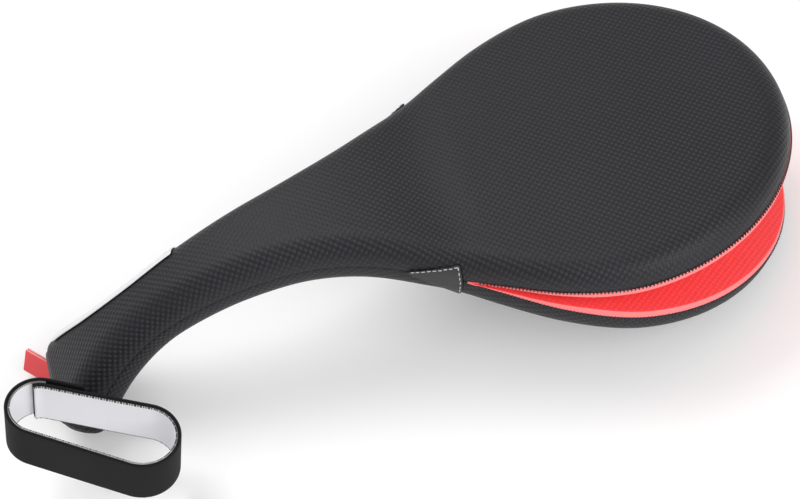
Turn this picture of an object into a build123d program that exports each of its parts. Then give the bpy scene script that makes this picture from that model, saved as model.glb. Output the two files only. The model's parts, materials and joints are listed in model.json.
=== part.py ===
from build123d import *
from math import cos, degrees, radians, sin
import os

# A double-bladed kick paddle. X runs along it from the wrist strap to the blade tips, Y is
# across, +Z is up. It rests on the butt of its arched handle and on the lower blade's tip,
# and the origin is on that surface, under the middle of the whole part.
# Units are millimetres and degrees.

# Blades
BLADE_RADIUS = 100.0        # round end of each blade, which is also its half width
BLADE_REACH = 90.0          # from the throat to the centre of the round end
THROAT_HALF = 62.5          # half width where the blades leave the handle
ROOT_TAIL = (20.0, 11.5)    # how far the outline runs back past the throat, and narrows
SHOULDER = ((0.19, 0.27), (0.52, 0.71))     # shares of the reach and of the widening
SPLAY = 7.85                # each blade leans out by this from the plane between them
SKIN_TO_SEAM = 15.5         # thickness on the strike side of a blade's rim seam
SEAM_TO_INNER = 4.0         # thickness on the inner side of the seam
RIM_ROUND = 11.0            # rounded edge of the strike side
FOAM_BEVEL = 8.0            # keeps the foam's edge inside the rounded cover
INNER_ROUND = 2.5           # rounded edge of the inner side
CLAP = 4.0                  # how far each blade closes towards the other
SPRING_BACK = 8.0           # how far each blade opens away from the other

# Layers
COVER = 1.2                 # synthetic leather
PLATE = 2.0                 # springy plastic stiffener
PLATE_LIFT = 1.0            # from the seam to the plate
PLATE_INSET = 4.0
SEAM = 0.8                  # height of the sewn rim
SEAM_GAP = 0.1
FIT = 0.3                   # clearance between neighbouring layers
JOINT_GAP = 0.4             # clearance between a blade's root and the handle
CUT_SIZE = 900.0            # larger than the whole paddle
CLAP_GAP = 0.2              # what stays open at the root when the blades close

# Handle, an arch that drops from the throat to the butt
TILT = 10.2                 # the plane between the blades dips towards their tips
ARCH_RADIUS = 221.0
NECK = 20.0                 # straight run from the arch to the throat
GRIP_LENGTH = 234.5         # from the throat to the butt, along the neck and the arch
GRIP_HEIGHT = 31.0
GRIP_ROUND = 13.0
GRIP_HALF = 18.5            # half width at the narrowest, where a hand holds it
BUTT_HALF = 33.0
THROAT_FLARE = ((0.0, 1.0), (0.085, 0.75), (0.183, 0.484), (0.309, 0.257), (0.446, 0.13),
                (0.588, 0.04))
BUTT_FLARE = ((0.712, 0.0), (0.847, 0.30), (0.949, 0.81), (1.0, 1.0))
GRIP_STATIONS = (
    [(GRIP_LENGTH * share, GRIP_HALF + (THROAT_HALF - GRIP_HALF) * flare)
     for share, flare in THROAT_FLARE]
    + [(GRIP_LENGTH * share, GRIP_HALF + (BUTT_HALF - GRIP_HALF) * flare)
       for share, flare in BUTT_FLARE])
CORE_HEIGHT = 6.8
CORE_INSET = 5.0
FOAM_INSET = 5.0
END_PATCH = 1.2
TAB_WIDTH, TAB_OUT, TAB_THICK = 25.0, 14.0, 2.6
TAB_CORNER = (15.0, 5.0)    # the end tab's sewn corner on the butt, across and up
TAB_RUN = (19.4, 15.0, -9.1)        # the tab's width runs across, up and out from its corner
TAB_FALL = (0.0, -3.0, -17.0)       # its length falls down and out

# Trim wrapped round the handle's cover
TRIM = 0.8
PATCH_LENGTH = 26.0
PATCH_HEIGHT = 22.0
LABEL_LENGTH, LABEL_HEIGHT = 88.0, 13.0
LABEL_MARGIN = 10.0         # from the label to the butt
SEAM_MARGIN = 2.0           # from the side seam to its neighbours
SIDE_SEAM_HEIGHT = 1.6

# Wrist strap, a loop of lined webbing that stands beside the butt on its sewn anchor
BAND = 30.0
WEBBING = 1.8
LINING = 1.0
LINING_MARGIN = 1.5         # webbing left bare along each edge of the lining
LOOP_SMALL, LOOP_LARGE = 18.0, 22.0
LOOP_SPAN = 56.0
LOOP_HEADING = -24.0
LOOP_DIP = 17.0                     # the loop sags towards its large end
LOOP_FROM_BUTT = (-17.6, -45.2)     # from the middle of the butt to the loop's small end
LOOP_LIFT = 36.0
ANCHOR_ROLL = 3.0           # radius of the sewn roll that the loop swings on
ANCHOR_LENGTH = 16.0
ANCHOR_UP = 7.0             # from the band's lower edge to the roll
ANCHOR_AT = 10.0            # from the loop's small end to the middle of the roll
ANCHOR_WEB = (8.0, 3.0)     # webbing from the roll to the side of the butt
ANCHOR_BACK = 9.0           # from the butt's end to the middle of the foot
ANCHOR_TUCK = 1.5           # the foot is cut to the side of the butt from this far inside it

# Where the throat lies
PADDLE_X = 30.5
PADDLE_Y = 0.0
BUTT_PITCH = degrees((GRIP_LENGTH - NECK) / ARCH_RADIUS) - TILT
THROAT_Z = (ARCH_RADIUS * (cos(radians(TILT)) - cos(radians(BUTT_PITCH)))
            - NECK * sin(radians(TILT))
            + GRIP_HEIGHT / 2 * cos(radians(BUTT_PITCH))
            + (FIT + END_PATCH) * sin(radians(BUTT_PITCH)))
THROAT = Vector(PADDLE_X, PADDLE_Y, THROAT_Z)

os.makedirs("parts", exist_ok=True)


def save(piece, label):
    piece.part.label = label
    export_step(piece.part, f"parts/{label}.step")


def forward(pitch):
    """Unit vector along the paddle, raised by an angle above the horizontal."""
    return Vector(cos(radians(pitch)), 0, sin(radians(pitch)))


def outward(pitch, side):
    """Unit vector square to forward, up for side 1 and down for side -1."""
    return Vector(-side * sin(radians(pitch)), 0, side * cos(radians(pitch)))


# ---------------------------------------------------------------- blades
def blade_plan(inset):
    """The outline of a blade, from behind the throat to its round end."""
    widening = BLADE_RADIUS - THROAT_HALF
    points = [(-ROOT_TAIL[0], THROAT_HALF - ROOT_TAIL[1]), (0, THROAT_HALF)]
    points += [(BLADE_REACH * along, THROAT_HALF + widening * wide) for along, wide in SHOULDER]
    points += [(BLADE_REACH, BLADE_RADIUS)]
    side = Edge.make_spline([Vector(*point) for point in points],
                            tangents=[Vector(1, 0.55), Vector(1, 0)])
    inner = [side @ (step / 6) + (side % (step / 6)).rotate(Axis.Z, -90) * inset
             for step in range(7)]
    radius = BLADE_RADIUS - inset
    with BuildSketch() as plan:
        with BuildLine():
            shoulder = Spline(*inner, tangents=[side % 0, side % 1])
            ThreePointArc((BLADE_REACH, radius), (BLADE_REACH + radius, 0), (BLADE_REACH, -radius))
            mirror(shoulder, about=Plane.XZ)
            Line((inner[0].X, -inner[0].Y), (inner[0].X, inner[0].Y))
        make_face()
    return plan.sketch


def blade_cuts(side):
    """Planes that keep a blade clear of the handle and of the other blade as it flexes."""
    root_pitch = -TILT - side * SPRING_BACK
    clap_pitch = -TILT + side * CLAP
    root = Plane(origin=THROAT + forward(root_pitch) * JOINT_GAP, z_dir=forward(root_pitch))
    clap = Plane(origin=THROAT + outward(clap_pitch, side) * CLAP_GAP,
                 z_dir=outward(clap_pitch, side))
    return root, clap


def keep_beyond(plane):
    """Cuts the part being built back to the side that a plane faces."""
    with BuildSketch(plane) as cut:
        Rectangle(CUT_SIZE, CUT_SIZE)
    extrude(cut.sketch, amount=CUT_SIZE, mode=Mode.INTERSECT)


def blade_slab(seat, inset, bottom, top, edge_round, mode=Mode.ADD, bevel=0):
    """A blade-shaped slab with its outermost edge rounded or bevelled."""
    height = top - bottom
    plane = seat.offset(bottom)
    with BuildSketch(plane) as profile:
        add(blade_plan(inset))
    slab = extrude(profile.sketch, amount=height, mode=Mode.PRIVATE)
    far_face = slab.faces().sort_by(Axis(seat.origin, seat.z_dir * (1 if height > 0 else -1)))[-1]
    rim = far_face.edges().filter_by(GeomType.LINE, reverse=True)
    if edge_round:
        slab = slab.fillet(edge_round, rim)
    if bevel:
        slab = slab.chamfer(bevel, bevel, rim)
    add(slab, mode=mode)


seam_top = SEAM / 2 + SEAM_GAP
foam_top = SKIN_TO_SEAM - COVER - FIT
plate_top = PLATE_LIFT + PLATE
lining_floor = COVER - SEAM_TO_INNER

for name, side in (("upper", 1), ("lower", -1)):
    pitch = -TILT + side * SPLAY
    seat = Plane(origin=THROAT, x_dir=forward(pitch), z_dir=outward(pitch, side))
    root, clap = blade_cuts(side)

    with BuildPart() as outer_cover:
        blade_slab(seat, 0, seam_top, SKIN_TO_SEAM, RIM_ROUND)
        blade_slab(seat, COVER, seam_top, SKIN_TO_SEAM - COVER, RIM_ROUND - COVER, Mode.SUBTRACT)
        keep_beyond(root)
        keep_beyond(clap)
    save(outer_cover, f"{name}_outer_cover")

    with BuildPart() as impact_foam:
        blade_slab(seat, COVER + FIT, plate_top + FIT, foam_top, 0, bevel=FOAM_BEVEL)
        keep_beyond(root)
    save(impact_foam, f"{name}_impact_foam")

    with BuildPart() as stiffener:
        blade_slab(seat, PLATE_INSET, PLATE_LIFT, plate_top, 0)
        keep_beyond(root)
    save(stiffener, f"{name}_stiffener")

    with BuildPart() as backing_foam:
        blade_slab(seat, COVER + FIT, lining_floor + FIT, PLATE_LIFT - FIT, 0)
        keep_beyond(root)
        keep_beyond(clap.offset(COVER + FIT))
    save(backing_foam, f"{name}_backing_foam")

    with BuildPart() as inner_cover:
        blade_slab(seat, 0, -seam_top, -SEAM_TO_INNER, INNER_ROUND)
        blade_slab(seat, COVER, -seam_top, lining_floor, 0, Mode.SUBTRACT)
        keep_beyond(root)
        keep_beyond(clap)
    save(inner_cover, f"{name}_inner_cover")

    with BuildPart() as rim_seam:
        blade_slab(seat, SEAM_GAP, -SEAM / 2, SEAM / 2, 0)
        blade_slab(seat, COVER, -SEAM / 2, SEAM / 2, 0, Mode.SUBTRACT)
        keep_beyond(root)
        keep_beyond(clap)
    save(rim_seam, f"{name}_rim_seam")


# ---------------------------------------------------------------- handle
def grip_plane(distance):
    """Cross-section plane of the handle at a distance along its arch."""
    pitch = degrees(max(distance - NECK, 0) / ARCH_RADIUS) - TILT
    neck_point = THROAT - forward(-TILT) * min(distance, NECK)
    arch_turn = outward(pitch, 1) - outward(-TILT, 1)
    return Plane(origin=neck_point + arch_turn * ARCH_RADIUS, x_dir=(0, 1, 0),
                 z_dir=forward(pitch))


def grip_body(inset, mode=Mode.ADD):
    """The handle's outer shape, shrunk by an inset or grown by a negative one."""
    sections = []
    for distance, half in GRIP_STATIONS:
        with BuildSketch(grip_plane(distance)) as section:
            RectangleRounded(2 * (half - inset), GRIP_HEIGHT - 2 * inset, GRIP_ROUND - inset)
        sections.append(section.sketch)
    loft(sections, mode=mode)


def grip_layer(inset, bottom, top, corner):
    """A layer inside the handle, between two heights from its middle."""
    sections = []
    for distance, half in GRIP_STATIONS:
        with BuildSketch(grip_plane(distance)) as section:
            with Locations((0, (bottom + top) / 2)):
                Rectangle(2 * (half - inset), top - bottom)
            if corner:
                outer = section.vertices().group_by(Axis.Y)[-1 if top > 0 else 0]
                fillet(outer, corner)
        sections.append(section.sketch)
    loft(sections)


with BuildPart() as grip_cover:
    grip_body(0)
    grip_body(COVER, Mode.SUBTRACT)
save(grip_cover, "grip_cover")

with BuildPart() as grip_core:
    grip_layer(CORE_INSET, -CORE_HEIGHT / 2, CORE_HEIGHT / 2, 0)
save(grip_core, "grip_core")

tongue_bottom = CORE_HEIGHT / 2 + FIT
foam_bottom = tongue_bottom + PLATE + FIT
foam_top = GRIP_HEIGHT / 2 - COVER - FIT
foam_corner = foam_top - foam_bottom - 2 * FIT

for name, side in (("upper", 1), ("lower", -1)):
    with BuildPart() as tongue:
        grip_layer(CORE_INSET, *sorted((side * tongue_bottom, side * (tongue_bottom + PLATE))), 0)
    save(tongue, f"{name}_tongue")

    with BuildPart() as grip_foam:
        grip_layer(FOAM_INSET, *sorted((side * foam_bottom, side * foam_top)),
                   foam_corner)
    save(grip_foam, f"{name}_grip_foam")

# A sewn patch closes the butt
with BuildPart() as butt_patch:
    with BuildSketch(grip_plane(GRIP_LENGTH + FIT)):
        RectangleRounded(2 * GRIP_STATIONS[-1][1], GRIP_HEIGHT, GRIP_ROUND)
    extrude(amount=-END_PATCH)
save(butt_patch, "butt_patch")


# ---------------------------------------------------------------- trim on the handle
def trim_piece(stations, near, far):
    """A thin skin over the handle's cover: stations are (distance, low, high)."""
    grip_body(-FIT - TRIM)
    grip_body(-FIT, Mode.SUBTRACT)
    sections = []
    for distance, low, high in stations:
        with BuildSketch(grip_plane(distance)) as section:
            with Locations(((near + far) / 2, (low + high) / 2)):
                Rectangle(far - near, high - low)
        sections.append(section.sketch)
    loft(sections, mode=Mode.INTERSECT)


def along(start, end, low, high):
    """Five even stations between two distances along the arch."""
    return [(start + (end - start) * step / 4, low, high) for step in range(5)]


SIDE = THROAT_HALF + 20     # past the widest part of the handle
for name, near, far in (("near", -SIDE, 0.0), ("far", 0.0, SIDE)):
    with BuildPart() as throat_patch:
        trim_piece(((0, -PATCH_HEIGHT / 2, PATCH_HEIGHT / 2), (PATCH_LENGTH, -1.5, 1.5)), near, far)
    save(throat_patch, f"throat_patch_{name}")

label_end = GRIP_LENGTH - LABEL_MARGIN
label_start = label_end - LABEL_LENGTH
with BuildPart() as side_seam:
    trim_piece(along(PATCH_LENGTH + SEAM_MARGIN, label_start - SEAM_MARGIN,
                     -SIDE_SEAM_HEIGHT / 2, SIDE_SEAM_HEIGHT / 2), 0, SIDE)
save(side_seam, "side_seam")

with BuildPart() as label_strip:
    trim_piece(along(label_start, label_end, -LABEL_HEIGHT / 2, LABEL_HEIGHT / 2), 0, SIDE)
save(label_strip, "label_strip")

# A webbing tab stands out of the far end of the butt, sewn in at one corner
tab_seat = grip_plane(GRIP_LENGTH + END_PATCH + 2 * FIT)
tab_run = tab_seat.from_local_coords(TAB_RUN) - tab_seat.origin
tab_fall = tab_seat.from_local_coords(TAB_FALL) - tab_seat.origin
tab_plane = Plane(origin=tab_seat.from_local_coords((*TAB_CORNER, 0)), x_dir=tab_run,
                  z_dir=tab_run.cross(tab_fall))
with BuildPart() as end_tab:
    with BuildSketch(tab_plane):
        Rectangle(TAB_WIDTH, TAB_OUT, align=(Align.MIN, Align.MIN))
    extrude(amount=-TAB_THICK)
save(end_tab, "end_tab")


# ---------------------------------------------------------------- wrist strap
butt = grip_plane(GRIP_LENGTH).origin
heading = Vector(1, 0, 0).rotate(Axis.Y, LOOP_DIP).rotate(Axis.Z, LOOP_HEADING)
loop_axis = Vector(0, 0, 1).rotate(Axis.Y, LOOP_DIP).rotate(Axis.Z, LOOP_HEADING)
loop_start = Vector(butt.X + LOOP_FROM_BUTT[0], butt.Y + LOOP_FROM_BUTT[1], LOOP_LIFT)
loop_plane = Plane(origin=loop_start, x_dir=heading, z_dir=loop_axis)


def loop_ring(outer, inner, low, high):
    """A ring between two growths of the loop's outline, from one height to another."""
    for growth, mode in ((outer, Mode.ADD), (inner, Mode.SUBTRACT)):
        with BuildSketch(loop_plane.offset(low)) as outline:
            Circle(LOOP_SMALL + growth)
            with Locations((LOOP_SPAN, LOOP_SMALL - LOOP_LARGE)):
                Circle(LOOP_LARGE + growth)
            make_hull()
        extrude(outline.sketch, amount=high - low, mode=mode)


with BuildPart() as strap_band:
    loop_ring(0, -WEBBING, 0, BAND)
save(strap_band, "strap_band")

with BuildPart() as strap_lining:
    loop_ring(-WEBBING - FIT, -WEBBING - FIT - LINING, LINING_MARGIN, BAND - LINING_MARGIN)
save(strap_lining, "strap_lining")

# The anchor is a sewn roll along the loop's back, on a web from the side of the butt
roll_height = LOOP_SMALL + FIT + ANCHOR_ROLL
roll_middle = loop_plane.from_local_coords((ANCHOR_AT, roll_height, ANCHOR_UP))
foot_plane = grip_plane(GRIP_LENGTH - ANCHOR_BACK)
foot_middle = foot_plane.from_local_coords((ANCHOR_TUCK - BUTT_HALF, 0, 0))
web = foot_middle - roll_middle
with BuildPart() as strap_anchor:
    with BuildSketch(Plane(origin=roll_middle - heading * ANCHOR_LENGTH / 2, z_dir=heading)):
        Circle(ANCHOR_ROLL)
    extrude(amount=ANCHOR_LENGTH)
    with BuildSketch(Plane(origin=roll_middle, x_dir=heading, z_dir=web)):
        Rectangle(*ANCHOR_WEB)
    extrude(amount=web.length)
    grip_body(-FIT, Mode.SUBTRACT)
save(strap_anchor, "strap_anchor")
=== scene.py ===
import bpy
import bmesh
import json
from math import acos, atan2, cos, hypot, pi, radians, sin
from mathutils import Matrix, Vector


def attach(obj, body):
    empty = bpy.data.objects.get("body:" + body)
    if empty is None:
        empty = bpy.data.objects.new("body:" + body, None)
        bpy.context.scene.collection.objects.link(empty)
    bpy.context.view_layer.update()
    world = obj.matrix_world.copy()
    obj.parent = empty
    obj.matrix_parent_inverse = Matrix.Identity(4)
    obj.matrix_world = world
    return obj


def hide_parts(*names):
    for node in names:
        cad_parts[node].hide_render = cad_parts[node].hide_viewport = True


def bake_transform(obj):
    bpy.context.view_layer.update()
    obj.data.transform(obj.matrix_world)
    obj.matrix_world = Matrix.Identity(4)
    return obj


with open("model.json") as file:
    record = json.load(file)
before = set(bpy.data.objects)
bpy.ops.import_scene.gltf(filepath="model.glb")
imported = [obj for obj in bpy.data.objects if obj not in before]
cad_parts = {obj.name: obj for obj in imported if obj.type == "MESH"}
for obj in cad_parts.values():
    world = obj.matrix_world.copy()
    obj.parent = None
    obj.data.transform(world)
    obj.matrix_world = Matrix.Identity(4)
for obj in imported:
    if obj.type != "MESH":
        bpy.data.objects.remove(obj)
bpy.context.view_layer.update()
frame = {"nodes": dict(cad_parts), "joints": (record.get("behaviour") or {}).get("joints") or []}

# ---------------------------------------------------------------- black covers
# Two long pieces of embossed synthetic leather, one for each side of the paddle. Each runs in
# one piece from the butt over the handle and the throat to a blade's round end, is drawn over
# the foam inside and is sewn down round its edge. It turns at the throat to lie along its blade.
THROAT = Vector(frame["joints"][0]["pos_m"])
TILT = radians(10.2)            # the plane between the blades dips towards their tips
SPLAY = radians(7.85)           # each blade leans out of that plane
ARCH_RADIUS = 0.221
NECK = 0.020                    # straight run from the arch to the throat
GRIP_LENGTH = 0.2345
BLADE_REACH = 0.090             # from the throat to the centre of the round end
BLADE_RADIUS = 0.100
HALF_THICK = 0.0155             # from the seam to the strike face, on handle and blade alike
GRIP_ROUND = 0.014              # width of the rounding from the seam to the flat of a face
RIM_ROUND = 0.0145
FULLNESS = 0.72                 # below 1, a cover's side is fuller than an ellipse
SEAM_EDGE = 0.0001              # the sewn edge stands this far from the seam plane
SEAM_OVERLAP = 0.0004           # the two covers close over each other along the handle
CURL_START = radians(75)        # how far round its turn the curl at the butt begins
COVER_THICK = 0.0012
CROWN = 0.0018                  # the foam lifts the middle of a blade's face
BUTT_CURL = 0.005               # the cover turns in over the end of the handle
THROAT_BLEND = 0.020            # half the length over which the handle turns into a blade
ACROSS = Vector((0, 1, 0))

# Half widths at distances from the throat, positive towards the tip
WIDTHS = ((-1.000, 0.0330), (-0.949, 0.0303), (-0.847, 0.0228), (-0.712, 0.0185),
          (-0.588, 0.0203), (-0.446, 0.0242), (-0.309, 0.0298), (-0.183, 0.0398),
          (-0.085, 0.0515), (0.000, 0.0625), (0.190, 0.0726), (0.520, 0.0891), (1.000, 0.1000))
KNOTS = [(share * (GRIP_LENGTH if share < 0 else BLADE_REACH), half) for share, half in WIDTHS]


def smooth(share):
    """Eases from 0 to 1."""
    share = min(max(share, 0.0), 1.0)
    return share * share * (3 - 2 * share)


def slope(index):
    """Slope of the outline at a knot, level at both ends."""
    if index in (0, len(KNOTS) - 1):
        return 0.0
    (a, low), (b, mid), (c, high) = KNOTS[index - 1:index + 2]
    before, after = (mid - low) / (b - a), (high - mid) / (c - b)
    return (before * (c - b) + after * (b - a)) / (c - a)


def half_width(distance):
    """Half width of the paddle, on one smooth curve through the knots."""
    index = 0
    while index < len(KNOTS) - 2 and distance > KNOTS[index + 1][0]:
        index += 1
    (start, low), (end, high) = KNOTS[index:index + 2]
    t = min(max((distance - start) / (end - start), 0.0), 1.0)
    span = end - start
    return ((2 * t**3 - 3 * t**2 + 1) * low + (t**3 - 2 * t**2 + t) * span * slope(index)
            + (3 * t**2 - 2 * t**3) * high + (t**3 - t**2) * span * slope(index + 1))


def forward(pitch):
    return Vector((cos(pitch), 0, sin(pitch)))


def upward(pitch):
    return Vector((-sin(pitch), 0, cos(pitch)))


def spine(distance, side):
    """Point on a cover's seam plane at a distance from the throat, and the pitch there."""
    arch_pitch = max(-distance - NECK, 0) / ARCH_RADIUS - TILT
    arch_point = (THROAT + (upward(arch_pitch) - upward(-TILT)) * ARCH_RADIUS
                  + forward(-TILT) * max(distance, -NECK))
    blade_pitch = side * SPLAY - TILT
    blade_point = THROAT + forward(blade_pitch) * distance
    share = smooth((distance + THROAT_BLEND) / (2 * THROAT_BLEND))
    return arch_point.lerp(blade_point, share), arch_pitch + (blade_pitch - arch_pitch) * share


class Rib:
    """A line from the middle of the paddle out to its edge."""

    def __init__(self, side, distance, angle):
        self.base, pitch = spine(distance, side)
        ahead = forward(pitch)
        self.out = ahead * cos(angle) + ACROSS * sin(angle)
        self.along = ACROSS * cos(angle) - ahead * sin(angle)
        self.up = upward(pitch) * side
        self.distance, self.angle = distance, angle
        self.half = half_width(distance)

    def at(self, reach, height):
        return self.base + self.out * reach + self.up * height

    def flat(self, reach):
        """The same place on the leather before it was sewn, for its pattern."""
        return (self.distance + reach * cos(self.angle), reach * sin(self.angle))


def ribs_round(side, distances, turns):
    """Ribs up the near side, round the blade's end and back down the far side."""
    near = [Rib(side, distance, -pi / 2) for distance in distances]
    end = [Rib(side, BLADE_REACH, pi * (turn / turns - 0.5)) for turn in range(1, turns)]
    far = [Rib(side, distance, pi / 2) for distance in reversed(distances)]
    return near + end + far


def even(start, end, count):
    return [start + (end - start) * step / count for step in range(count + 1)]


def edge_profile(half, height, rounding, crown, edge=SEAM_EDGE):
    """(reach, height, length from the edge) from the sewn edge to the middle."""
    points = [(half - rounding * (1 - cos(turn)), max(height * sin(turn)**FULLNESS, edge))
              for turn in even(0, pi / 2, 10)]
    points[0] = (half, edge)
    inner = half - rounding
    points += [(inner * (1 - share), height + crown * (1 - (1 - share)**2)**2)
               for share in even(0, 1, 14)[1:]]
    lengths = [0.0]
    for (a, b), (c, d) in zip(points, points[1:]):
        lengths.append(lengths[-1] + hypot(c - a, d - b))
    return [(reach, level, length) for (reach, level), length in zip(points, lengths)]


def new_piece(name, mesh, *materials):
    piece = bpy.data.objects.new(name, mesh)
    bpy.context.scene.collection.objects.link(piece)
    for material in materials:
        mesh.materials.append(material)
    return piece


def skin(name, rows, flats, outward, second=0):
    """A mesh through rows of points, with its pattern laid flat. The first columns of each
    row may take the second material."""
    work = bmesh.new()
    layer = work.loops.layers.uv.new("flat")
    grid = [[work.verts.new(point) for point in row] for row in rows]
    for i in range(len(rows) - 1):
        for j in range(len(rows[0]) - 1):
            corners = ((i, j), (i + 1, j), (i + 1, j + 1), (i, j + 1))
            face = work.faces.new([grid[a][b] for a, b in corners])
            face.smooth = True
            face.material_index = int(j < second)
            for loop, (a, b) in zip(face.loops, corners):
                loop[layer].uv = flats[a][b]
    bmesh.ops.remove_doubles(work, verts=work.verts, dist=1e-6)
    work.normal_update()
    work.faces.ensure_lookup_table()
    if work.faces[len(work.faces) // 3].normal.dot(outward) < 0:
        bmesh.ops.reverse_faces(work, faces=work.faces)
    mesh = bpy.data.meshes.new(name)
    work.to_mesh(mesh)
    work.free()
    return mesh


def thicken(piece, thickness, levels=1):
    shell = piece.modifiers.new("thickness", "SOLIDIFY")
    shell.thickness = thickness
    shell.offset = -1
    piece.modifiers.new("rounding", "SUBSURF").levels = levels
    piece.modifiers["rounding"].render_levels = levels


def node(tree, kind, inputs=None, **settings):
    """A node with its settings, and its inputs set to values or linked to sockets."""
    made = tree.nodes.new(kind)
    for name, value in settings.items():
        setattr(made, name, value)
    for key, value in (inputs or {}).items():
        if isinstance(value, bpy.types.NodeSocket):
            tree.links.new(value, made.inputs[key])
        else:
            made.inputs[key].default_value = value
    return made


def math(tree, operation, *values, clamp=False):
    return node(tree, "ShaderNodeMath", dict(enumerate(values)), operation=operation,
                use_clamp=clamp).outputs[0]


def shader_group(name, inputs, outputs):
    """An empty node group, with its input node and a function that wires its outputs."""
    group = bpy.data.node_groups.new(name, "ShaderNodeTree")
    for label, kind, value in inputs:
        socket = group.interface.new_socket(name=label, in_out="INPUT", socket_type=kind)
        if value is not None:
            socket.default_value = value
    for label in outputs:
        group.interface.new_socket(name=label, in_out="OUTPUT", socket_type="NodeSocketFloat")
    source = group.nodes.new("NodeGroupInput")
    sink = group.nodes.new("NodeGroupOutput")

    def put(label, socket):
        group.links.new(socket, sink.inputs[label])
    return group, source, put


def place_group(tree, group, inputs):
    made = node(tree, "ShaderNodeGroup", node_tree=group)
    for key, value in inputs.items():
        if isinstance(value, bpy.types.NodeSocket):
            tree.links.new(value, made.inputs[key])
        else:
            made.inputs[key].default_value = value
    return made


# Staggered round bubbles pressed into the leather, each row half a step from the last
emboss, source, put = shader_group(
    "embossed bubbles",
    [("Flat", "NodeSocketVector", None), ("Pitch", "NodeSocketFloat", 0.00185)], ["Height"])
turns = node(emboss, "ShaderNodeVectorMath", {0: source.outputs["Flat"]}, operation="SCALE")
emboss.links.new(math(emboss, "DIVIDE", pi, source.outputs["Pitch"]), turns.inputs["Scale"])
split = node(emboss, "ShaderNodeSeparateXYZ", {0: turns.outputs[0]})
waves = math(emboss, "MULTIPLY", math(emboss, "SINE", split.outputs["X"]),
             math(emboss, "SINE", split.outputs["Y"]))
put("Height", node(emboss, "ShaderNodeMapRange",
                   {"Value": waves, "From Min": -0.35, "From Max": 0.9},
                   interpolation_type="SMOOTHSTEP").outputs["Result"])

# Fine irregular grain, used by leather, foam, tape and moulded plastic
grain, source, put = shader_group(
    "grain", [("Place", "NodeSocketVector", None), ("Fineness", "NodeSocketFloat", 900.0)],
    ["Height", "Patches"])
put("Height", node(grain, "ShaderNodeTexNoise",
                   {"Vector": source.outputs["Place"], "Scale": source.outputs["Fineness"],
                    "Detail": 3.0, "Roughness": 0.6}).outputs["Fac"])
put("Patches", node(grain, "ShaderNodeTexNoise",
                    {"Vector": source.outputs["Place"], "Scale": 18.0,
                     "Detail": 4.0}).outputs["Fac"])


def finish(name, dark, light, mask_from, roughness, bump_depth, *, specular=0.5, sheen=0.0,
           coat=0.0):
    """A material whose colour, roughness and normal follow the masks that mask_from wires.
    mask_from(tree) gives a colour mask, a roughness mask and a height."""
    material = bpy.data.materials.new(name)
    material.use_nodes = True
    tree = material.node_tree
    shader = tree.nodes["Principled BSDF"]
    shader.inputs["Specular IOR Level"].default_value = specular
    shader.inputs["Sheen Weight"].default_value = sheen
    shader.inputs["Coat Weight"].default_value = coat
    colour_mask, rough_mask, height = mask_from(tree)
    colour = node(tree, "ShaderNodeMix", {0: colour_mask, 6: (*dark, 1), 7: (*light, 1)},
                  data_type="RGBA")
    tree.links.new(colour.outputs[2], shader.inputs["Base Color"])
    rough = node(tree, "ShaderNodeMapRange", {"Value": rough_mask, "To Min": roughness[0],
                                              "To Max": roughness[1]})
    tree.links.new(rough.outputs["Result"], shader.inputs["Roughness"])
    bump = node(tree, "ShaderNodeBump", {"Height": height, "Distance": bump_depth,
                                         "Strength": 1.0})
    tree.links.new(bump.outputs["Normal"], shader.inputs["Normal"])
    return material


def embossed(pitch, depth_share=0.12):
    """Masks for embossed leather: bubbles with a fine grain over them."""
    def masks(tree):
        where = node(tree, "ShaderNodeTexCoord")
        bubbles = place_group(tree, emboss, {"Flat": where.outputs["UV"], "Pitch": pitch})
        fine = place_group(tree, grain, {"Place": where.outputs["Object"], "Fineness": 1400.0})
        height = math(tree, "MULTIPLY_ADD", fine.outputs["Height"], depth_share,
                      bubbles.outputs["Height"])
        # Colour mask: painted highlight on the bubble tops and painted shade between them, times
        # random patches of tone
        bubble_shade_and_patches = math(tree, "MULTIPLY", bubbles.outputs["Height"], fine.outputs["Patches"])
        return bubble_shade_and_patches, fine.outputs["Patches"], height
    return masks


def grained(fineness):
    """Masks for a plain grained surface."""
    def masks(tree):
        where = node(tree, "ShaderNodeTexCoord")
        fine = place_group(tree, grain, {"Place": where.outputs["Object"],
                                         "Fineness": fineness})
        return fine.outputs["Patches"], fine.outputs["Height"], fine.outputs["Height"]
    return masks


BLACK_LOW, BLACK_HIGH = (0.010, 0.0097, 0.0120), (0.034, 0.033, 0.041)
BUBBLE_PITCH = 0.00185
black_leather = finish("black embossed leather", BLACK_LOW, BLACK_HIGH, embossed(BUBBLE_PITCH),
                       (0.40, 0.54), 0.00028, specular=0.32)

# The cover turns in at the butt, runs evenly up the handle, and is finer from the throat on
FINER_FROM = -0.03
curl = [(BUTT_CURL * (1 - cos(turn)), BUTT_CURL - GRIP_LENGTH - BUTT_CURL * sin(turn))
        for turn in even(CURL_START, 0, 5)]
cover_distances = [distance for _, distance in curl]
cover_distances += even(BUTT_CURL - GRIP_LENGTH, FINER_FROM, 46)[1:]
cover_distances += even(FINER_FROM, BLADE_REACH, 40)[1:]
curl_insets = {distance: inset for inset, distance in curl}


def cover_shape(rib):
    """The profile of the black cover along a rib."""
    blade = smooth((rib.distance + THROAT_BLEND) / (2 * THROAT_BLEND))
    inset = curl_insets.get(rib.distance, 0.0)
    rounding = GRIP_ROUND + (RIM_ROUND - GRIP_ROUND) * blade
    edge = SEAM_EDGE * blade - SEAM_OVERLAP * (1 - blade) if inset == 0 else SEAM_EDGE
    return edge_profile(rib.half - inset, HALF_THICK - inset, rounding - inset,
                        CROWN * blade, edge)


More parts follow.
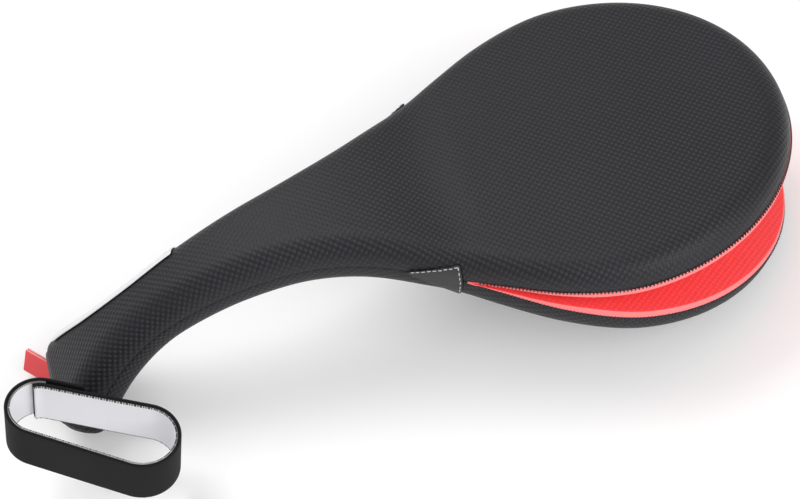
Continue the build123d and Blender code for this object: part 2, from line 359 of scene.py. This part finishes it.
for name, side in (("upper", 1), ("lower", -1)):
    ribs = ribs_round(side, cover_distances, 44)
    shapes = [cover_shape(rib) for rib in ribs]
    rows = [[rib.at(reach, level) for reach, level, _ in shape]
            for rib, shape in zip(ribs, shapes)]
    flats = [[rib.flat(shape[-1][2] - length) for _, _, length in shape]
             for rib, shape in zip(ribs, shapes)]
    cover = new_piece(f"{name}_black_cover", skin(f"{name}_black_cover", rows, flats,
                                                  ribs[len(ribs) // 3].up), black_leather)
    thicken(cover, COVER_THICK)
    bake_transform(cover)
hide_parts("upper_outer_cover", "grip_cover")
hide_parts("lower_outer_cover", "grip_cover")

# ---------------------------------------------------------------- red inner covers
# The faces that clap together are red embossed leather. Its edge is turned up as a smooth band
# that meets the black cover at the sewn rim; the band is the same red, painted paler as a painted
# highlight where the rim catches the light. It thins to nothing at the throat, where the two
# blades close on each other.
BAND_DEPTH = 0.004
LEAST_BAND = 0.00002            # what is left of the band where the blades meet
CLAP = radians(4)               # how far a blade closes towards the other
INNER_START = 0.002             # from the throat to the first of the red
INNER_ROUND = 0.0012
INNER_THICK = 0.0006
RED_LOW, RED_HIGH = (0.94, 0.070, 0.075), (1.0, 0.120, 0.125)
# The band's paler pink is a painted highlight on the red leather's turned edge, not a colour of
# its own
HIGHLIGHT_PINK_LOW, HIGHLIGHT_PINK_HIGH = (0.88, 0.19, 0.19), (0.97, 0.25, 0.25)
red_leather = finish("red embossed leather", RED_LOW, RED_HIGH, embossed(BUBBLE_PITCH, 0.08),
                     (0.45, 0.60), 0.00014, specular=0.35)
painted_highlight_band = finish("turned edge with painted highlight", HIGHLIGHT_PINK_LOW, HIGHLIGHT_PINK_HIGH, grained(1100.0), (0.45, 0.6), 0.00006,
                   specular=0.35)


def closed_room(rib, side):
    """Height of the seam over the plane where the blades meet, when its blade is closed."""
    lift = (rib.base - THROAT).dot(upward(-TILT)) * side
    return max(lift - rib.distance * sin(CLAP), LEAST_BAND)


def band_profile(half, depth):
    """(reach, height, length) from the rim down the band and across to the middle."""
    rounding = min(INNER_ROUND, depth * 0.4)
    points = [(half, level) for level in even(-SEAM_EDGE, rounding - depth, 3)]
    points += [(half - rounding * (1 - cos(turn)), rounding * (1 - sin(turn)) - depth)
               for turn in even(0, pi / 2, 4)[1:]]
    inner = half - rounding
    points += [(inner * (1 - share), -depth) for share in even(0, 1, 14)[1:]]
    lengths = [0.0]
    for (a, b), (c, d) in zip(points, points[1:]):
        lengths.append(lengths[-1] + hypot(c - a, d - b))
    return [(reach, level, length) for (reach, level), length in zip(points, lengths)]


BAND_COLUMNS = 6                # columns of the mesh that take the band's painted highlight
for name, side in (("upper", 1), ("lower", -1)):
    ribs = ribs_round(side, even(INNER_START, BLADE_REACH, 36), 44)
    shapes = [band_profile(rib.half, min(BAND_DEPTH, closed_room(rib, side))) for rib in ribs]
    rows = [[rib.at(reach, level) for reach, level, _ in shape]
            for rib, shape in zip(ribs, shapes)]
    flats = [[rib.flat(shape[-1][2] - length) for _, _, length in shape]
             for rib, shape in zip(ribs, shapes)]
    inner = new_piece(f"{name}_red_cover", skin(f"{name}_red_cover", rows, flats,
                                                -ribs[len(ribs) // 3].up, BAND_COLUMNS),
                      red_leather, painted_highlight_band)
    thicken(inner, INNER_THICK)
    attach(inner, f"{name}_blade")
    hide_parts(f"{name}_inner_cover")

# ---------------------------------------------------------------- rim stitching
# A whipped seam of black thread holds the black cover to the red one all round each blade. Each
# loop of thread stands over the edge of the pale band.
STITCH_START = 0.008            # from the throat to the first loop
STITCH_STEP = 0.0019
STITCH_ABOVE = 0.0009           # each loop reaches this far up the black cover
STITCH_BELOW = 0.00072          # and this far down the pale band
THREAD_RADIUS = 0.00042
THREAD_SLANT = 0.0004
THREAD_RISE = 0.00025           # the middle of a loop stands proud of the leather
THREAD_CLEAR = 0.0001           # and its ends stand this far off it


def thread_loops(name, stitches, radius, rise, material):
    """Short arched lengths of thread in one mesh. A stitch is (start, end, outward)."""
    verts, faces = [], []
    sides, stations = 6, ((0.0, 0.35), (0.12, 0.85), (0.5, 1.0), (0.88, 0.85), (1.0, 0.35))
    for start, end, outward in stitches:
        across = (end - start).normalized().cross(outward).normalized()
        first = len(verts)
        for share, thick in stations:
            middle = start.lerp(end, share) + outward * rise * 4 * share * (1 - share)
            for step in range(sides):
                turn = 2 * pi * step / sides
                verts.append(middle + (across * cos(turn) + outward * sin(turn)) * radius * thick)
        for ring in range(len(stations) - 1):
            for step in range(sides):
                a, b = first + ring * sides + step, first + ring * sides + (step + 1) % sides
                faces.append((a, b, b + sides, a + sides))
        faces.append(tuple(first + step for step in reversed(range(sides))))
        last = first + (len(stations) - 1) * sides
        faces.append(tuple(last + step for step in range(sides)))
    mesh = bpy.data.meshes.new(name)
    mesh.from_pydata(verts, [], faces)
    mesh.shade_smooth()
    return new_piece(name, mesh, material)


def evenly(points, step):
    """Places a step apart along a line of points, as (index, share) pairs."""
    places, left = [], 0.0
    for index, (a, b) in enumerate(zip(points, points[1:])):
        span = (b - a).length
        while left < span:
            places.append((index, left / span))
            left += step
        left -= span
    return places


def twisted(tree):
    """Masks for spun thread: fine fibres along it."""
    where = node(tree, "ShaderNodeTexCoord")
    fine = place_group(tree, grain, {"Place": where.outputs["Object"], "Fineness": 2600.0})
    return fine.outputs["Height"], fine.outputs["Height"], fine.outputs["Height"]


black_thread = finish("black thread", (0.010, 0.010, 0.012), (0.035, 0.034, 0.038), twisted,
                      (0.5, 0.7), 0.0001)
for name, side in (("upper", 1), ("lower", -1)):
    ribs = ribs_round(side, even(STITCH_START, BLADE_REACH, 60), 90)
    edge = [rib.at(rib.half, 0) for rib in ribs]
    stitches = []
    for index, share in evenly(edge, STITCH_STEP):
        rib = ribs[index]
        middle = edge[index].lerp(edge[index + 1], share) + rib.out * THREAD_CLEAR
        below = min(STITCH_BELOW, max(closed_room(rib, side) - THREAD_RADIUS, 0.0))
        lean = (edge[index + 1] - edge[index]).normalized() * THREAD_SLANT / 2
        stitches.append((middle + rib.up * STITCH_ABOVE + lean,
                         middle - rib.up * below - lean, rib.out))
    rim = thread_loops(f"{name}_rim_stitches", stitches, THREAD_RADIUS, THREAD_RISE, black_thread)
    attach(rim, f"{name}_blade")
    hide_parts(f"{name}_rim_seam")

# ---------------------------------------------------------------- throat patches
# A triangle of smooth black leather covers the end of each side seam, where the two covers part.
# Its point lies back along the handle. It is sewn with a row of pale stitches along its top
# edge and its front edge.
PATCH_LENGTH = 0.026
PATCH_HALF = 0.011
PATCH_THICK = 0.0009
PATCH_LIFT = 0.0006
PATCH_MARGIN = 0.0011           # from the edge of the patch to its stitches
PATCH_STITCH = 0.0021
PATCH_STEP = 0.0031
PATCH_POINT = 0.93              # the point is rounded, so its rows never close to nothing
PATCH_BACK = 0.0003             # from the throat to the patch's front edge
PATCH_THREAD, PATCH_THREAD_RISE = 0.00028, 0.00012
smooth_leather = finish("smooth black leather", (0.014, 0.014, 0.016), (0.026, 0.026, 0.029),
                        grained(700.0), (0.34, 0.46), 0.00006)
pale_thread = finish("pale thread", (0.42, 0.42, 0.43), (0.62, 0.62, 0.62), twisted,
                     (0.5, 0.7), 0.0001)


def on_handle(distance, height, sign):
    """Point and outward direction on the handle's side, at a length up from the side seam."""
    side = 1 if height >= 0 else -1
    rib = Rib(side, distance, sign * pi / 2)
    shape = cover_shape(rib)
    left = abs(height)
    for (a, low, start), (b, high, end) in zip(shape, shape[1:]):
        if left <= end:
            share = (max(left, start) - start) / (end - start)
            run, climb = (b - a) / (end - start), (high - low) / (end - start)
            outward = (rib.out * climb - rib.up * run).normalized()
            return rib.at(a + (b - a) * share, low + (high - low) * share), outward
    raise ValueError("the height is past the middle of the handle")


def patch_place(back, up, sign, lift):
    """Place on a patch: back from 0 to 1 towards its point, up from -1 to 1 across it."""
    half = PATCH_HALF * (1 - PATCH_POINT * back)
    point, outward = on_handle(-PATCH_LENGTH * back - PATCH_BACK, half * up, sign)
    return point + outward * lift, outward


for name, sign in (("near", -1), ("far", 1)):
    rows, flats = [], []
    for back in even(0, 1, 16):
        places = [(back, up) for up in even(-1, 1, 12)]
        rows.append([patch_place(*place, sign, PATCH_LIFT + PATCH_THICK)[0] for place in places])
        flats.append([(back * PATCH_LENGTH, up * PATCH_HALF) for _, up in places])
    patch = new_piece(f"throat_patch_{name}_leather",
                      skin(f"throat_patch_{name}_leather", rows, flats, ACROSS * sign),
                      smooth_leather)
    thicken(patch, PATCH_THICK)
    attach(patch, "handle")
    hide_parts(f"throat_patch_{name}")

    stitches = []
    top = PATCH_LIFT + PATCH_THICK + THREAD_CLEAR
    edge_margin = 1 - PATCH_MARGIN / PATCH_HALF
    front = [patch_place(PATCH_MARGIN / PATCH_LENGTH, up, sign, top)
             for up in even(-edge_margin, edge_margin, 60)]
    upper_edge = [patch_place(back, edge_margin, sign, top)
                  for back in even(PATCH_MARGIN / PATCH_LENGTH, PATCH_POINT, 60)]
    for line in (front, upper_edge):
        points = [point for point, _ in line]
        for index, share in evenly(points, PATCH_STEP):
            point, outward = line[index]
            ahead = (points[index + 1] - points[index]).normalized()
            stitches.append((point, point + ahead * PATCH_STITCH, outward))
    sewing = thread_loops(f"throat_patch_{name}_stitches", stitches, PATCH_THREAD,
                          PATCH_THREAD_RISE, pale_thread)
    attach(sewing, "handle")

# ---------------------------------------------------------------- butt patch
# The open end of the handle is closed by a slightly domed piece of smooth leather, tucked under
# the turned-in ends of the two covers.
BUTT_INSET = 0.0028
BUTT_DOME = 0.0016
BUTT_PROUD = 0.0004             # the patch's edge stands this far past the handle's end
butt_ribs = [Rib(side, -GRIP_LENGTH, sign * pi / 2)
             for side, sign in ((1, -1), (1, 1), (-1, 1), (-1, -1))]
butt_loop = []
for index, rib in enumerate(butt_ribs):
    shape = edge_profile(rib.half - BUTT_INSET, HALF_THICK - BUTT_INSET,
                         GRIP_ROUND - BUTT_INSET, 0)
    points = [rib.at(reach, level) for reach, level, _ in shape][:-1]
    butt_loop += points if index % 2 == 0 else points[::-1]
butt_middle, butt_pitch = spine(-GRIP_LENGTH, 1)
butt_back = -forward(butt_pitch)
rows = [[butt_middle.lerp(point, share) + butt_back * (BUTT_DOME * (1 - share**2) + BUTT_PROUD)
         for point in butt_loop + butt_loop[:1]] for share in (1.0, 0.97, 0.9, 0.7, 0.4, 0.0)]
flats = [[((point - butt_middle).dot(ACROSS), (point - butt_middle).dot(upward(butt_pitch)))
          for point in row] for row in rows]
butt = new_piece("butt_leather", skin("butt_leather", rows, flats, butt_back), smooth_leather)
thicken(butt, COVER_THICK)
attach(butt, "handle")
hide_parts("butt_patch")

# ---------------------------------------------------------------- strap webbing
# The wrist strap is a single length of black webbing. From a free end inside the loop it runs
# along the back, round the large end and the front, and laps over itself behind, where it is
# sewn to its anchor.
STRAP_JOINT = next(joint for joint in frame["joints"] if joint["name"] == "strap_swing")
HEADING = Vector(STRAP_JOINT["axis"])
SIDEWAYS = Vector((-HEADING.y, HEADING.x, 0)).normalized()
STRAP_UP = HEADING.cross(SIDEWAYS)
BAND_HEIGHT = 0.030
WEBBING = 0.0018
LOOP_SMALL, LOOP_LARGE = 0.018, 0.022
LOOP_SPAN, LOOP_DROP = 0.056, -0.004       # from the small end's centre to the large one's
ROLL_RADIUS, ROLL_FIT = 0.003, 0.0003
ROLL_AT, ROLL_UP = 0.010, 0.007
LOOP_START = (Vector(STRAP_JOINT["pos_m"]) - HEADING * ROLL_AT
              - SIDEWAYS * (LOOP_SMALL + ROLL_FIT + ROLL_RADIUS)
              + STRAP_UP * (BAND_HEIGHT / 2 - ROLL_UP))
span = hypot(LOOP_SPAN, LOOP_DROP)
lean = atan2(LOOP_DROP, LOOP_SPAN)
contact = acos((LOOP_SMALL - LOOP_LARGE) / span)
straight = (span**2 - (LOOP_SMALL - LOOP_LARGE)**2)**0.5
large_arc, small_arc = LOOP_LARGE * 2 * contact, LOOP_SMALL * 2 * (pi - contact)
loop_length = 2 * straight + large_arc + small_arc
LAP = 0.020                     # how far the outer end laps behind the back
FREE_END = 0.009                # how far the inner end reaches round the small end
LAP_DEPTH = 0.0034              # the inner layer lies this far inside the outer one


def on_loop(run):
    """Point on the loop's outline at a run from the start of its back, and the way out."""
    run %= loop_length
    turn, centre, radius, along = lean + contact, (0, 0), LOOP_SMALL, run
    if run > straight:
        centre, radius, along = (LOOP_SPAN, LOOP_DROP), LOOP_LARGE, 0
        turn -= min(run - straight, large_arc) / LOOP_LARGE
    if run > straight + large_arc:
        along = min(run - straight - large_arc, straight)
    if run > 2 * straight + large_arc:
        centre, radius, along = (0, 0), LOOP_SMALL, 0
        turn -= (run - 2 * straight - large_arc) / LOOP_SMALL
    out = HEADING * cos(turn) + SIDEWAYS * sin(turn)
    ahead = HEADING * sin(turn) - SIDEWAYS * cos(turn)
    point = LOOP_START + HEADING * centre[0] + SIDEWAYS * centre[1] + out * radius + ahead * along
    return point, out


def strap_line(inset, start, end, count):
    """Points and outward directions along the strap at a depth inside its outer face."""
    line = []
    for run in even(start, end, count):
        point, out = on_loop(run)
        depth = LAP_DEPTH * (1 - smooth((run - LAP) / (loop_length - LAP)))
        line.append((point - out * (inset + depth), out))
    return line


def ribbon(name, line, across, width, thickness, *materials):
    """A flat band with eased edges along a line of (point, outward), with its weave laid flat."""
    ease = thickness * 0.3
    w, t = width / 2, thickness / 2
    outline = [(-w, 0), (-w, t - ease), (ease - w, t), (0, t), (w - ease, t), (w, t - ease),
               (w, 0), (w, ease - t), (w - ease, -t), (0, -t), (ease - w, -t), (-w, ease - t)]
    work = bmesh.new()
    layer = work.loops.layers.uv.new("flat")
    rings, runs = [], [0.0]
    for (a, _), (b, _) in zip(line, line[1:]):
        runs.append(runs[-1] + (b - a).length)
    for point, out in line:
        rings.append([work.verts.new(point + across * y + out * z) for y, z in outline])
    count = len(outline)
    for i in range(len(rings) - 1):
        for j in range(count):
            corners = ((i, j), (i, (j + 1) % count), (i + 1, (j + 1) % count), (i + 1, j))
            face = work.faces.new([rings[a][b] for a, b in corners])
            face.smooth = True
            face.material_index = int(len(materials) > 1 and j in (0, 5, 6, 11))
            for loop, (a, b) in zip(face.loops, corners):
                loop[layer].uv = (runs[a], outline[b][0])
    for ring in (rings[0], rings[-1]):
        cap = work.faces.new(ring)
        cap.material_index = len(materials) - 1
    bmesh.ops.recalc_face_normals(work, faces=work.faces)
    mesh = bpy.data.meshes.new(name)
    work.to_mesh(mesh)
    work.free()
    piece = new_piece(name, mesh, *materials)
    piece.modifiers.new("flat faces", "WEIGHTED_NORMAL").keep_sharp = False
    return piece


# Ribs of webbing, close together across a band and crossed by a finer weft
weave, source, put = shader_group(
    "weave", [("Flat", "NodeSocketVector", None), ("Rib", "NodeSocketFloat", 0.0013)], ["Height"])
turns = node(weave, "ShaderNodeVectorMath", {0: source.outputs["Flat"]}, operation="SCALE")
weave.links.new(math(weave, "DIVIDE", 2 * pi, source.outputs["Rib"]), turns.inputs["Scale"])
split = node(weave, "ShaderNodeSeparateXYZ", {0: turns.outputs[0]})
warp = math(weave, "SINE", math(weave, "MULTIPLY", split.outputs["X"], 1.6))
weft = math(weave, "SINE", split.outputs["Y"])
put("Height", math(weave, "MULTIPLY_ADD", math(weave, "MULTIPLY", warp, weft), 0.5, 0.5))


def woven(rib):
    """Masks for a woven band."""
    def masks(tree):
        where = node(tree, "ShaderNodeTexCoord")
        threads = place_group(tree, weave, {"Flat": where.outputs["UV"], "Rib": rib})
        fine = place_group(tree, grain, {"Place": where.outputs["Object"], "Fineness": 2000.0})
        height = math(tree, "MULTIPLY_ADD", fine.outputs["Height"], 0.5,
                      threads.outputs["Height"])
        mask = math(tree, "MULTIPLY", threads.outputs["Height"], fine.outputs["Height"])
        return mask, fine.outputs["Patches"], height
    return masks


black_webbing = finish("black webbing", (0.006, 0.006, 0.006), (0.016, 0.016, 0.016),
                       woven(0.0011), (0.62, 0.78), 0.00010, specular=0.15)
STRAP_COUNT = 170
band_line = strap_line(WEBBING / 2, -FREE_END, loop_length + LAP, STRAP_COUNT)
band = ribbon("strap_webbing", band_line, STRAP_UP, BAND_HEIGHT, WEBBING, black_webbing)
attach(band, "wrist_strap")
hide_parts("strap_band")

# ---------------------------------------------------------------- strap lining
# Soft white brushed fabric lines the inside of the strap, where it lies on the wrist. It is sewn
# on along both edges with close black stitches that wrap over its edge.
LINING = 0.0010
LINING_HEIGHT = 0.0282
LINING_STEP = 0.00105
LINING_THREAD = 0.00034
LINING_BITE = 0.0005            # a stitch reaches this far onto the lining
LINING_OVER = 0.0009            # and this far over its edge
LINING_EASE = 0.001             # the stitches stop this far short of the ends
white_brushed = finish("white brushed lining", (0.78, 0.775, 0.80), (0.87, 0.865, 0.89),
                       grained(1500.0), (0.85, 0.95), 0.00015, specular=0.2, sheen=0.3)
lining_end = loop_length - LINING_EASE
lining_line = strap_line(WEBBING + LINING / 2, 0.0004 - FREE_END, lining_end, STRAP_COUNT)
lining = ribbon("strap_lining_fabric", lining_line, STRAP_UP, LINING_HEIGHT, LINING,
                white_brushed)
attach(lining, "wrist_strap")
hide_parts("strap_lining")

stitch_line = strap_line(WEBBING + LINING, LINING_EASE - FREE_END, lining_end, 400)
points = [point for point, _ in stitch_line]
for name, level in (("top", 1), ("bottom", -1)):
    stitches = []
    for index, share in evenly(points, LINING_STEP):
        point, out = stitch_line[index]
        rise = STRAP_UP * level
        edge = point + rise * LINING_HEIGHT / 2 - out * THREAD_CLEAR
        stitches.append((edge - rise * LINING_BITE,
                         edge + rise * LINING_OVER + out * LINING * 0.8,
                         (rise - out).normalized()))
    sewing = thread_loops(f"strap_{name}_stitches", stitches, LINING_THREAD, THREAD_CLEAR,
                          black_thread)
    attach(sewing, "wrist_strap")

# ---------------------------------------------------------------- strap anchor
# The loop swings on a tight roll of the same webbing, whose tail is sewn to the side of the butt.
anchor = frame["nodes"]["strap_anchor"]
anchor_webbing = finish("anchor webbing", (0.012, 0.012, 0.012), (0.030, 0.030, 0.030),
                        grained(1300.0), (0.62, 0.78), 0.00012, specular=0.3)
anchor.data.materials.clear()
anchor.data.materials.append(anchor_webbing)

# ---------------------------------------------------------------- end tab
# A short length of red webbing is folded double and sewn into the far end of the butt. The fold
# stands out, and the heat-cut edges are paler than the faces.
TAB_WIDTH = 0.025
TAB_OUT = 0.014
TAB_CORNER = (0.015, 0.005)     # the sewn corner on the butt, across and up
TAB_RUN = (19.4, 15.0, -9.1)    # the width runs across, up and out from that corner
TAB_FALL = (0.0, -3.0, -17.0)   # the length falls down and out
TAB_WEBBING = 0.0010
TAB_FOLD = 0.0008               # radius of the fold, to the middle of the webbing
TAB_START = 0.0002              # from the sewn edge to the first of the webbing
BUTT_STACK = 0.0018             # from the handle's end to the outside of its patch
red_webbing = finish("red webbing", (0.95, 0.085, 0.095), (1.0, 0.150, 0.160), woven(0.0009),
                     (0.55, 0.7), 0.00007, specular=0.3)
pale_edge = finish("heat-cut red edge", (0.90, 0.34, 0.34), (0.98, 0.50, 0.50), grained(1200.0),
                   (0.5, 0.65), 0.00005, specular=0.3)


def from_butt(across, up, ahead):
    """A direction given across, up and ahead at the butt."""
    return ACROSS * across + upward(butt_pitch) * up + forward(butt_pitch) * ahead


tab_run = from_butt(*TAB_RUN).normalized()
tab_face = tab_run.cross(from_butt(*TAB_FALL)).normalized()
tab_fall = tab_face.cross(tab_run)
tab_root = (butt_middle + from_butt(*TAB_CORNER, 0) + butt_back * BUTT_STACK
            + tab_run * TAB_WIDTH / 2 - tab_face * (TAB_FOLD + TAB_WEBBING / 2))
tab_line = [(tab_root + tab_fall * out + tab_face * TAB_FOLD, tab_face)
            for out in even(TAB_START, TAB_OUT - TAB_FOLD, 6)]
tab_line += [(tab_root + tab_fall * (TAB_OUT - TAB_FOLD)
              + (tab_face * cos(turn) + tab_fall * sin(turn)) * TAB_FOLD,
              tab_face * cos(turn) + tab_fall * sin(turn)) for turn in even(0, pi, 8)[1:]]
tab_line += [(tab_root + tab_fall * out - tab_face * TAB_FOLD, -tab_face)
             for out in even(TAB_OUT - TAB_FOLD, TAB_START, 6)[1:]]
tab = ribbon("end_tab_webbing", tab_line, tab_run, TAB_WIDTH, TAB_WEBBING, red_webbing, pale_edge)
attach(tab, "handle")
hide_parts("end_tab")

# ---------------------------------------------------------------- side seam and label
# On the far side the two covers are joined by a corded black seam, and a bare white woven label
# is sewn over it near the butt. The label reaches up round the side to the flat of the handle.
white_label = finish("bare white label", (0.78, 0.78, 0.79), (0.90, 0.90, 0.90), grained(1800.0),
                     (0.5, 0.62), 0.00005, specular=0.3)
corded_seam = finish("corded seam", (0.012, 0.012, 0.014), (0.034, 0.033, 0.037), twisted,
                     (0.5, 0.7), 0.0001)
seam_cord = frame["nodes"]["side_seam"]
seam_cord.data.materials.clear()
seam_cord.data.materials.append(corded_seam)

LABEL_LENGTH, LABEL_MARGIN = 0.088, 0.010       # its length, and its distance from the butt
LABEL_EDGES = (-0.0065, 0.0200)                 # down and up from the seam, round the side
LABEL_LIFT = 0.0014
LABEL_THICK = 0.0008
label_near = LABEL_MARGIN - GRIP_LENGTH
label_distances = even(label_near, label_near + LABEL_LENGTH, 40)
label_heights = even(*LABEL_EDGES, 18)
rows, flats = [], []
for distance in label_distances:
    places = [on_handle(distance, height, 1) for height in label_heights]
    rows.append([point + outward * LABEL_LIFT for point, outward in places])
    flats.append([(distance, height) for height in label_heights])
label = new_piece("label_woven", skin("label_woven", rows, flats, ACROSS), white_label)
thicken(label, LABEL_THICK)
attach(label, "handle")
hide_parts("label_strip")

# ---------------------------------------------------------------- foam, stiffeners and core
# Inside, each blade holds a springy plastic plate between a thick strike foam and a thin backing
# foam, and the handle holds the two plates' tongues round a solid core under its own foam.
dark_foam = finish("closed-cell foam", (0.085, 0.085, 0.090), (0.150, 0.150, 0.160),
                   grained(420.0), (0.85, 0.95), 0.00030, specular=0.2)
springy_plastic = finish("springy plastic", (0.055, 0.055, 0.055), (0.085, 0.085, 0.085),
                         grained(240.0), (0.38, 0.50), 0.00004)
core_rubber = finish("handle core", (0.075, 0.070, 0.065), (0.120, 0.112, 0.104),
                     grained(300.0), (0.60, 0.75), 0.00010)
inside = {"foam": dark_foam, "stiffener": springy_plastic, "tongue": springy_plastic,
          "core": core_rubber}
for name, piece in frame["nodes"].items():
    for ending, material in inside.items():
        if name.endswith(ending):
            piece.data.materials.clear()
            piece.data.materials.append(material)

# ---------------------------------------------------------------- floor, light and camera
# A plain white floor that keeps the paddle's soft shadow, a white surround, and broad soft lamps.
floor_mesh = bpy.data.meshes.new("floor")
FLOOR = 3.0
floor_mesh.from_pydata([(-FLOOR, -FLOOR, 0), (FLOOR, -FLOOR, 0), (FLOOR, FLOOR, 0),
                        (-FLOOR, FLOOR, 0)], [], [(0, 1, 2, 3)])
floor_white = bpy.data.materials.new("floor white")
floor_white.use_nodes = True
tree = floor_white.node_tree
plain = tree.nodes["Principled BSDF"]
plain.inputs["Base Color"].default_value = (0.86, 0.86, 0.86, 1)
plain.inputs["Roughness"].default_value = 0.9
plain.inputs["Emission Color"].default_value = (1, 1, 1, 1)
rays = node(tree, "ShaderNodeLightPath")
seen = math(tree, "MAXIMUM", rays.outputs["Is Camera Ray"], rays.outputs["Is Glossy Ray"])
FLOOR_LIFT = 0.16               # brings the floor's white up to the surround's where it is seen
tree.links.new(math(tree, "MULTIPLY", seen, FLOOR_LIFT), plain.inputs["Emission Strength"])
floor = new_piece("floor", floor_mesh, floor_white)

surround = bpy.data.worlds.new("surround")
bpy.context.scene.world = surround
surround.use_nodes = True
tree = surround.node_tree
sky = tree.nodes["Background"]
sky.inputs["Color"].default_value = (1, 1, 1, 1)
rays = node(tree, "ShaderNodeLightPath")
seen = math(tree, "MAXIMUM", rays.outputs["Is Camera Ray"], rays.outputs["Is Transmission Ray"])
SURROUND_LIGHT = 0.55
tree.links.new(math(tree, "MULTIPLY_ADD", seen, 1 - SURROUND_LIGHT, SURROUND_LIGHT),
               sky.inputs["Strength"])

# Each lamp: place relative to the throat, size in metres, power in watts
LAMPS = (("key", (-0.5, 0.9, 1.5), 1.1, 15.0), ("fill", (0.7, -1.4, 0.9), 1.4, 22.0))
for name, place, size, power in LAMPS:
    lamp = bpy.data.lights.new(name, "AREA")
    lamp.size, lamp.energy = size, power
    holder = bpy.data.objects.new(name, lamp)
    bpy.context.scene.collection.objects.link(holder)
    holder.location = THROAT + Vector(place)
    holder.rotation_euler = Vector(place).to_track_quat("Z", "Y").to_euler()

AZIMUTH, ELEVATION, ROLL = radians(0.293), radians(48.161), radians(-18.190)
VIEW_DISTANCE = 1.30572
AIM = THROAT + Vector((-0.02518, -0.03266, 0.00453))
view = bpy.data.cameras.new("camera")
view.lens, view.sensor_width = 114.577, 36.0
camera = bpy.data.objects.new("camera", view)
bpy.context.scene.collection.objects.link(camera)
back = Vector((sin(AZIMUTH) * cos(ELEVATION), -cos(AZIMUTH) * cos(ELEVATION), sin(ELEVATION)))
level = Vector((cos(AZIMUTH), sin(AZIMUTH), 0))
top = back.cross(level)
right = level * cos(ROLL) + top * sin(ROLL)
camera.matrix_world = Matrix.LocRotScale(
    AIM + back * VIEW_DISTANCE,
    Matrix((right, back.cross(right), back)).transposed().to_quaternion(), None)
bpy.context.scene.camera = camera
bpy.context.scene.view_settings.view_transform = "Standard"
